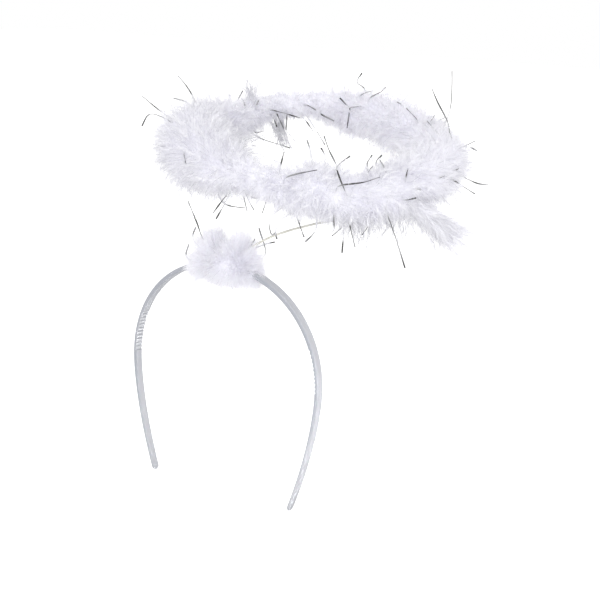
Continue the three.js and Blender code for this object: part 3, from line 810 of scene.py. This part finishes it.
def puff_brush(rng, tuft):
    """Barbs side by side from the crown to a flat end."""
    reach = puff_direction(tuft) * PUFF_HALF_SIZES * tuft.reach
    reach[2] *= PUFF_UPRIGHT_STRETCH if reach[2] > 0 else PUFF_LOWER_SHARE
    root = np.array([PUFF_CORE_SIZES[0] * tuft.along, 0, PUFF_MIDDLE_HEIGHT])
    side = unit(np.cross(reach, np.cross(np.array([1.0, 0.0, 0.0]), reach)))
    thin = unit(np.cross(reach, side))
    n = BRUSH_BARBS
    disc = np.sqrt(rng.random(n)) * BRUSH_WIDTH / 2
    turn = rng.uniform(0, math.tau, n)
    off = (side * np.cos(turn)[:, None] + thin * np.sin(turn)[:, None]) * disc[:, None]
    start = rng.uniform(*BRUSH_STARTS, n)
    end = np.minimum(start + rng.uniform(*BRUSH_LENGTHS, n), rng.uniform(*BRUSH_ENDS, n))
    root_width = (BRUSH_ROOT_WIDTH + BRUSH_WIDENING * start)[:, None]
    tip_width = (BRUSH_TIP_WIDTH + BRUSH_FLARE * end)[:, None]
    roots = root + reach * start[:, None] + off * root_width
    tips = root + reach * end[:, None] + off * tip_width + rng.normal(0, BRUSH_TIP_STRAY, (n, 3))
    toward = tips - roots
    lengths = np.linalg.norm(toward, axis=1)
    bends = random_bends(rng, n, *BRUSH_BENDS)
    shades = rng.normal(0, PUFF_SHADES[1]) + rng.normal(*PUFF_SHADES, n)
    return ribbons(rng, roots, toward / lengths[:, None], lengths, bends, shades)


def puff_clumps(rng):
    """Short barbs all over the puff, so that the band and clip don't show through it."""
    ways = unit(rng.normal(size=(PUFF_CLUMPS, 3)))
    bends = rng.normal(0, PUFF_BARB_BEND, (PUFF_CLUMPS, 3))
    of = np.repeat(np.arange(PUFF_CLUMPS), BARBS_IN_CLUMP)
    n = len(of)
    ways = unit(ways[of] + rng.normal(0, PUFF_BARB_SPREAD, (n, 3)))
    root_share = rng.uniform(*PUFF_BARB_ROOTS, n)
    surface = ways * PUFF_CLUMP_SIZES
    surface[:, 2] *= np.where(ways[:, 2] < 0, PUFF_LOWER_SHARE, 1)
    roots = surface * root_share[:, None] + UP * PUFF_MIDDLE_HEIGHT
    outward = ways / PUFF_CLUMP_SIZES**2 * PUFF_CLUMP_SIZES.mean() ** 2
    aims = unit(outward + rng.normal(0, PUFF_BARB_LEAN, (n, 3)))
    lengths = np.linalg.norm(surface, axis=1) * (rng.uniform(*PUFF_BARB_REACH, n) - root_share)
    shades = rng.normal(*PUFF_SHADES, n)
    return ribbons(rng, roots, aims, lengths, bends[of] - PUFF_BARB_SAG * UP, shades)


def puff_collar(rng):
    """Barbs along the band on both sides, where the puff runs out on it."""
    n = COLLAR_BARBS
    hand = rng.choice([-1.0, 1.0], n)
    reach = rng.uniform(*COLLAR_REACH, n)
    _, x, z, _, _ = leg_line()
    turn = rng.uniform(0, math.tau, n)
    around = np.column_stack([np.zeros(n), np.cos(turn), np.sin(turn)])
    roots = np.column_stack([hand * reach, np.zeros(n), np.interp(reach, x, z)]) + around * CROWN_WIDTH / 2
    aims = around * COLLAR_ROUND + rng.normal(0, COLLAR_LEAN, (n, 3))
    aims[:, 0] += hand * COLLAR_ALONG
    bends = random_bends(rng, n, *COLLAR_BENDS)
    lengths = rng.uniform(*COLLAR_LENGTHS, n)
    return ribbons(rng, roots, unit(aims), lengths, bends, rng.normal(*COLLAR_SHADES, n))


def puff_fronds(rng):
    """Fronds all round the puff, between its brushes."""
    n = PUFF_FRONDS
    directions = unit(rng.normal(size=(n, 3)))
    roots = directions * PUFF_CLUMP_SIZES * PUFF_FROND_ROOTS + UP * PUFF_MIDDLE_HEIGHT
    reach = np.linalg.norm(directions * PUFF_CLUMP_SIZES, axis=1)
    lengths = reach * rng.uniform(*PUFF_FROND_REACH, n)
    aims = unit(directions + rng.normal(0, PUFF_FROND_LEAN, (n, 3)))
    shades = rng.normal(*PUFF_FROND_SHADES, n)
    return fronds(rng, roots, aims, lengths, shades, BARBS_IN_FROND)


def puff_wisps(rng):
    """Single long barbs that stand out of the puff."""
    n = PUFF_WISPS
    directions = unit(rng.normal(size=(n, 3)))
    roots = directions * PUFF_HALF_SIZES * PUFF_WISP_ROOTS + UP * PUFF_MIDDLE_HEIGHT
    past = rng.gamma(*PUFF_WISP_LENGTHS, n)
    lengths = PUFF_WISP_SHARE * PUFF_HALF_SIZES[2] + past
    bends = random_bends(rng, n, *PUFF_WISP_BENDS)
    shades = rng.normal(*WISP_SHADES, n)
    return ribbons(rng, roots, directions, lengths, bends, shades, WISP_WIDTH, WISP_STATIONS)


def tube(rings, closed):
    """Corners and four-cornered faces through rings of points; closed joins the last to the first."""
    count, sides = rings.shape[:2]
    spans = count if closed else count - 1
    first = np.arange(spans)[:, None] * sides
    after = (np.arange(1, spans + 1) % count)[:, None] * sides
    side = np.arange(sides)[None]
    across = np.roll(np.arange(sides), -1)[None]
    faces = np.stack([first + side, first + across, after + across, after + side], -1)
    return Surface(rings.reshape(-1, 3), faces.reshape(-1, 4), None)


def strand_core():
    steps, sides = 300, 20
    angle = np.linspace(0, 360, steps, endpoint=False)[:, None]
    turn = np.linspace(0, math.tau, sides, endpoint=False)[None]
    middle, outward, _ = strand_middle(angle)
    radius = strand_radius(angle) * CORE_SHARE * (1 + waves(LUMPS, angle, turn))
    rings = middle + outward * (radius * np.cos(turn))[..., None]
    return tube(rings + ring.up * (radius * np.sin(turn))[..., None], closed=True)


def puff_core():
    steps, sides = 24, 32
    height = np.linspace(0, math.pi, steps)[:, None]
    turn = np.linspace(0, math.tau, sides, endpoint=False)[None]
    girth = np.maximum(np.sin(height), 0.01)
    x = np.broadcast_to(np.cos(height), (steps, sides))
    points = np.stack([x, girth * np.cos(turn), girth * np.sin(turn)], -1)
    return tube(points * PUFF_CORE_SIZES + PUFF_CORE_MIDDLE, closed=False)


def leg_line():
    """Distances down one leg from the crown, with the places and directions there in X and Z."""
    crown = CROWN_THICKNESS / 2
    turn = np.linspace(0, math.pi / 2, LEG_STEPS)
    share = np.linspace(0, 1, LEG_STEPS)[1:]
    power = 2 / CROWN_SQUARENESS
    x = np.concatenate([
        BAND_HALF_WIDTH * np.sin(turn) ** power,
        BAND_HALF_WIDTH - (BAND_HALF_WIDTH - TIP_HALF_GAP) * share**LEG_CURVE,
    ])
    z = np.concatenate([
        crown - WIDEST_DROP * (1 - np.cos(turn) ** power),
        crown - WIDEST_DROP - (BAND_HEIGHT - WIDEST_DROP) * share,
    ])
    distance = np.concatenate([[0], np.cumsum(np.hypot(np.diff(x), np.diff(z)))])
    return distance, x, z, np.gradient(x, distance), np.gradient(z, distance)


def band_surface():
    leg = leg_line()
    length = leg[0][-1]
    straight = length - TIP_WIDTH / 2
    notches = NOTCH_START + NOTCH_PITCH * np.arange(NOTCH_COUNT)
    walls = (notches[:, None] + np.array([-1, 1]) * NOTCH_WIDTH / 2)[..., None]
    walls = (walls + np.array([-1, 1]) * NOTCH_WALL / 2).ravel()
    tip = straight + TIP_WIDTH / 2 * np.sin(np.linspace(0, math.pi / 2, TIP_STEPS + 1)[1:])
    one_leg = np.concatenate([walls, tip])
    distance = np.sort(np.concatenate([-one_leg, np.linspace(-straight, straight, BAND_STEPS), one_leg]))

    reach = np.abs(distance)
    side = np.where(distance < 0, -1.0, 1.0)
    x, z, dx, dz = (np.interp(reach, leg[0], column) for column in leg[1:])
    level = np.hypot(dx, dz)
    outward = np.column_stack([-dz * side, np.zeros(len(distance)), dx]) / level[:, None]
    place = np.column_stack([x * side, np.zeros(len(distance)), z])
    share = reach / length
    closing = np.clip((reach - straight) / (TIP_WIDTH / 2), 0, 0.999)
    end_share = np.sqrt(1 - closing**2)
    half_width = (CROWN_WIDTH + (TIP_WIDTH - CROWN_WIDTH) * share) / 2 * end_share
    half_thickness = (CROWN_THICKNESS + (TIP_THICKNESS - CROWN_THICKNESS) * share) / 2 * np.sqrt(end_share)
    radius = np.minimum(BAND_EDGE_RADIUS, 0.8 * np.minimum(half_width, half_thickness))
    notched = np.min(np.abs(reach[:, None] - notches), axis=1) < NOTCH_WIDTH / 2
    floor = -half_thickness + np.where(notched, NOTCH_DEPTH, 0)

    corners = []
    for corner in range(4):
        to_back = 1 if corner in (0, 3) else -1
        to_out = 1 if corner < 2 else -1
        for turn in (corner + np.linspace(0, 1, CORNER_STEPS)) * math.pi / 2:
            y = to_back * (half_width - radius) + radius * math.cos(turn)
            out = np.maximum(to_out * (half_thickness - radius) + radius * math.sin(turn), floor)
            point = place + outward * out[:, None]
            point[:, 1] = y
            corners.append(point)
    return tube(np.stack(corners, 1), closed=False)


def smooth_path(points, steps):
    """A smooth curve through given points, in even steps."""
    points = np.array(points, float)
    spans = np.linalg.norm(np.diff(points, axis=0), axis=1)
    reach = np.concatenate([[0], np.cumsum(spans)])
    slopes = np.gradient(points, reach, axis=0)
    wanted = np.linspace(0, reach[-1], steps)
    span = np.clip(np.searchsorted(reach, wanted, side="right") - 1, 0, len(spans) - 1)
    step = spans[span][:, None]
    t = (wanted - reach[span])[:, None] / step
    start = (2 * t**3 - 3 * t**2 + 1) * points[span] + (t**3 - 2 * t**2 + t) * step * slopes[span]
    end = (3 * t**2 - 2 * t**3) * points[span + 1] + (t**3 - t**2) * step * slopes[span + 1]
    return start + end


def sections_along(path, half_width, half_thickness, sides, twist=0.0):
    """Rings of points round a path, turned by twist radians from one to the next."""
    tangents = unit(np.gradient(path, axis=0))
    across = unit(np.cross(tangents[0], UP + 0.37))
    rings = []
    for number, (place, tangent) in enumerate(zip(path, tangents)):
        across = unit(across - tangent * (across @ tangent))
        upward = np.cross(tangent, across)
        turned = across * math.cos(twist * number) + upward * math.sin(twist * number)
        beside = np.cross(tangent, turned)
        turn = np.linspace(0, math.tau, sides, endpoint=False)[:, None]
        rings.append(place + turned * half_width * np.cos(turn) + beside * half_thickness * np.sin(turn))
    return np.array(rings)


def wire_surfaces():
    join = on_ring(STEM_JOIN_ANGLE)[0]
    points = [
        (WIRE_FOOT_START, 0, WIRE_FOOT_HEIGHT),
        (WIRE_FOOT_END / 2, 0, WIRE_FOOT_HEIGHT),
        (WIRE_FOOT_END, 0, WIRE_FOOT_HEIGHT),
    ]
    for bend in STEM_BENDS:
        height = WIRE_FOOT_HEIGHT + (join[2] - WIRE_FOOT_HEIGHT) * bend.rise
        points.append((join[0] * bend.along, join[1] * bend.along, height))
    points.append(join)
    stem = sections_along(smooth_path(points, STEM_STEPS), WIRE_RADIUS, WIRE_RADIUS, WIRE_SIDES)
    angle = np.linspace(0, 360, RING_STEPS, endpoint=False)
    place, outward, _ = on_ring(angle)
    turn = np.linspace(0, math.tau, WIRE_SIDES, endpoint=False)[None, :, None]
    hoop = place[:, None] + WIRE_RADIUS * (outward[:, None] * np.cos(turn) + ring.up * np.sin(turn))
    return tube(stem, closed=False), tube(hoop, closed=True)


def pixel_rays(pixels):
    """Directions from the camera through pixels of the picture, for a depth of 1."""
    right, up, back = (np.array(axis) for axis in (CAMERA_RIGHT, CAMERA_UP, CAMERA_BACK))
    x = (pixels[:, :1] - PICTURE_SIDE / 2) / FOCAL
    y = (PICTURE_SIDE / 2 - pixels[:, 1:]) / FOCAL
    return right * x + up * y - back


def to_pixels(places):
    """Pixels of the picture and depths where places are seen."""
    seen = (places - np.array(CAMERA_PLACE)) @ np.array([CAMERA_RIGHT, CAMERA_UP, CAMERA_BACK]).T
    depth = -seen[:, 2]
    x = PICTURE_SIDE / 2 + FOCAL * seen[:, 0] / depth
    y = PICTURE_SIDE / 2 - FOCAL * seen[:, 1] / depth
    return np.column_stack([x, y]), depth


Carrier = namedtuple("Carrier", "roots middles radii")


def tinsel_carrier():
    """What the strands are twisted into: the wire's ring, and last the crown in its puff."""
    angles = np.arange(0.0, 360.0, 2.0)
    crown = np.array([[0.0, 0.0, CROWN_THICKNESS]])
    roots = np.vstack([on_ring(angles)[0], crown])
    middles = np.vstack([strand_middle(angles)[0], crown])
    return Carrier(roots, middles, np.append(strand_radius(angles), PUFF_HALF_SIZES[2]))


def tinsel_path(carrier, pixels):
    """A strand's root and its path past the down, through its pixels."""
    pixels = np.array(pixels, float)
    seen, depth = to_pixels(carrier.middles)
    scale = FOCAL / depth
    ways = []
    for order in (pixels, pixels[::-1]):
        back = unit(order[0] - order[1])
        inward = order[0] + back * np.linspace(0, TINSEL_INWARD, TINSEL_TRIES)[:, None]
        gaps = np.linalg.norm(inward[:, None] - seen[None], axis=2) / scale / carrier.radii
        gaps += np.linspace(0, FARTHEST_PENALTY, TINSEL_TRIES)[:, None]
        ways.append((gaps.min(), gaps.min(0).argmin(), order))
    _, at, pixels = min(ways, key=lambda way: way[0])
    if at == len(depth) - 1:
        near = np.array([at])
    else:
        steps = np.arange(-TINSEL_WINDOW // 2, TINSEL_WINDOW // 2 + 1)
        near = (at + steps) % (len(depth) - 1)
    off = np.linalg.norm(pixels[:, None] - seen[None, near], axis=2) / scale[near]
    nearest = near[off.argmin(1)]
    lift = np.sqrt(np.maximum(0, (carrier.radii[nearest] + TINSEL_LIFT) ** 2 - off.min(1) ** 2))
    shown = np.array(CAMERA_PLACE) + pixel_rays(pixels) * (depth[nearest] - lift)[:, None]
    return carrier.roots[at], shown


def tinsel_strand(rng, root, shown):
    """A thin twisted strip from its root through the stretch that glints, with painted reflection along
    it.
    """
    path = smooth_path(np.vstack([root, shown]), TINSEL_STATIONS)
    twist = rng.uniform(*TINSEL_TWIST)
    rings = sections_along(path, TINSEL_HALF_WIDTH, TINSEL_HALF_THICKNESS, TINSEL_SIDES, twist)
    hidden = np.linalg.norm(shown[0] - root)
    whole = hidden + np.linalg.norm(np.diff(shown, axis=0), axis=1).sum()
    along = np.linspace(0, 1, TINSEL_STATIONS)
    # Painted reflection: pale on the hidden stretch, then dark with painted glints
    dark = np.clip((along * whole - hidden) / TINSEL_FADE + 0.5, 0, 1)
    painted_glint = 0.75 + 0.25 * np.sin(along * rng.uniform(*TINSEL_PAINTED_GLINTS) + rng.uniform(0, 6))
    shade = np.clip(dark * painted_glint * rng.uniform(*TINSEL_SHADES), 0.05, 0.95)
    surface = tube(rings, closed=False)
    spread = (np.arange(TINSEL_SIDES) - (TINSEL_SIDES - 1) / 2) * SHADE_STEP
    uv = np.empty((TINSEL_STATIONS, TINSEL_SIDES, 2))
    uv[:, :, 0] = shade[:, None] + spread[None]
    uv[:, :, 1] = along[:, None]
    return surface._replace(uv=uv.reshape(-1, 2))


def hidden_tinsel(rng):
    """Strands on the side that the picture doesn't show."""
    away = -np.array(CAMERA_BACK)
    strands = []
    for angle in even_angles(rng, 0, 360, HIDDEN_TINSEL):
        root = on_ring(angle)[0]
        direction = unit(away + rng.normal(0, HIDDEN_LEAN, 3))
        radius = strand_radius(angle)
        first = root + direction * radius
        bent = unit(direction + rng.normal(0, HIDDEN_BEND, 3))
        last = root + bent * (radius + rng.uniform(*HIDDEN_LENGTHS))
        strands.append(tinsel_strand(rng, root, np.array([first, last])))
    return strands


marabou = marabou_material()
core = core_material()

add_piece("boa_core", strand_core(), core, ["halo_boa"])
# The quarters hold equal areas of the strand, so that each has as much down as the others
cuts_at = np.linspace(STRAND_START, STRAND_START + 360, 1441)
areas = np.cumsum(strand_radius(cuts_at))
cuts = np.interp(np.linspace(areas[0], areas[-1], len(STRAND_QUARTERS) + 1), areas, cuts_at)
for number, quarter in enumerate(STRAND_QUARTERS):
    rng = np.random.default_rng(11 + number)
    first, last = cuts[number], cuts[number + 1]
    parts = [grow(rng, first, last) for grow in (strand_clumps, strand_fronds, strand_wisps)]
    add_piece(f"boa_down_{quarter}", join_surfaces(parts), marabou, ["halo_boa"])

rng = np.random.default_rng(31)
tufts = [tuft_fronds(rng, tuft) for tuft in STRAND_TUFTS]
tufts += [hanging_wisps(rng)]
tufts += [hanging_fronds(rng, row) for row in HANGING_FRONDS]
add_piece("boa_tufts", join_surfaces(tufts), marabou, ["halo_boa"])

rng = np.random.default_rng(51)
brushes = [puff_brush(rng, tuft) for tuft in PUFF_TUFTS]
brushes += [puff_clumps(rng), puff_fronds(rng), puff_wisps(rng), puff_collar(rng)]
add_piece("puff_down", join_surfaces(brushes), marabou, ["crown_puff"])
add_piece("puff_core", puff_core(), core, ["crown_puff"])

rng = np.random.default_rng(71)
carrier = tinsel_carrier()
strands = [tinsel_strand(rng, *tinsel_path(carrier, pixels)) for pixels in TINSEL_PIXELS]
strands += hidden_tinsel(rng)
add_piece("tinsel", join_surfaces(strands), tinsel_material(), ["halo_boa"])

band = add_piece("band", band_surface(), band_material(), ["headband"])
band.data.set_sharp_from_angle(angle=math.radians(BAND_SHARP_DEGREES))

wire = wire_material()
for name, surface in zip(("wire_stem", "wire_ring"), wire_surfaces()):
    add_piece(name, surface, wire, ["halo_wire"])
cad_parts["wire_clip"].material_slots[0].material = wire


def place_camera():
    data = bpy.data.cameras.new("camera")
    data.lens, data.sensor_width = CAMERA_LENS, CAMERA_SENSOR
    data.clip_start, data.clip_end = 0.05, 20
    camera = bpy.data.objects.new("camera", data)
    axes = Matrix((CAMERA_RIGHT, CAMERA_UP, CAMERA_BACK)).transposed().to_4x4()
    axes.translation = [MM * x for x in CAMERA_PLACE]
    camera.matrix_world = axes
    bpy.context.scene.collection.objects.link(camera)
    bpy.context.scene.camera = camera


def seen_white(nodes, links, strength):
    """A strength of 1 for what the camera sees, and another for the light that it gives."""
    rays = nodes.new("ShaderNodeLightPath")
    choice = nodes.new("ShaderNodeMapRange")
    choice.inputs["To Min"].default_value = strength
    choice.inputs["To Max"].default_value = 1.0
    links.new(rays.outputs["Is Camera Ray"], choice.inputs["Value"])
    return choice.outputs["Result"]


def set_world():
    """White behind the part, and softer white light on it."""
    world = bpy.data.worlds.new("studio")
    world.use_nodes = True
    nodes, links = world.node_tree.nodes, world.node_tree.links
    background = nodes["Background"]
    background.inputs["Color"].default_value = (1, 1, 1, 1)
    links.new(seen_white(nodes, links, WORLD_STRENGTH), background.inputs["Strength"])
    bpy.context.scene.world = world
    bpy.context.scene.cycles.diffuse_bounces = DIFFUSE_BOUNCES
    bpy.context.scene.cycles.max_bounces = DIFFUSE_BOUNCES
    bpy.context.scene.view_settings.view_transform = "Standard"


def add_light(row):
    data = bpy.data.lights.new(row.name, "AREA")
    data.size, data.spread, data.energy = row.side, math.radians(row.spread), row.power
    light = bpy.data.objects.new(row.name, data)
    light.location = row.place
    light.visible_camera = False
    light.rotation_euler = (Vector(row.aim) - light.location).to_track_quat("-Z", "Y").to_euler()
    bpy.context.scene.collection.objects.link(light)


def add_floor():
    mesh = bpy.data.meshes.new("floor")
    signs = ((-1, -1), (1, -1), (1, 1), (-1, 1))
    corners = [(x * FLOOR_HALF_SIDE, y * FLOOR_HALF_SIDE, FLOOR_HEIGHT) for x, y in signs]
    mesh.from_pydata(corners, [], [(0, 1, 2, 3)])
    floor = bpy.data.objects.new("floor", mesh)
    material, nodes, links, shader = new_material("floor_white")
    shader.inputs["Base Color"].default_value = (0.3, 0.3, 0.3, 1)
    shader.inputs["Roughness"].default_value = 0.9
    shader.inputs["Emission Color"].default_value = (1, 1, 1, 1)
    links.new(seen_white(nodes, links, FLOOR_GLOW), shader.inputs["Emission Strength"])
    mesh.materials.append(material)
    bpy.context.scene.collection.objects.link(floor)


place_camera()
set_world()
for row in LIGHTS:
    add_light(row)
add_floor()
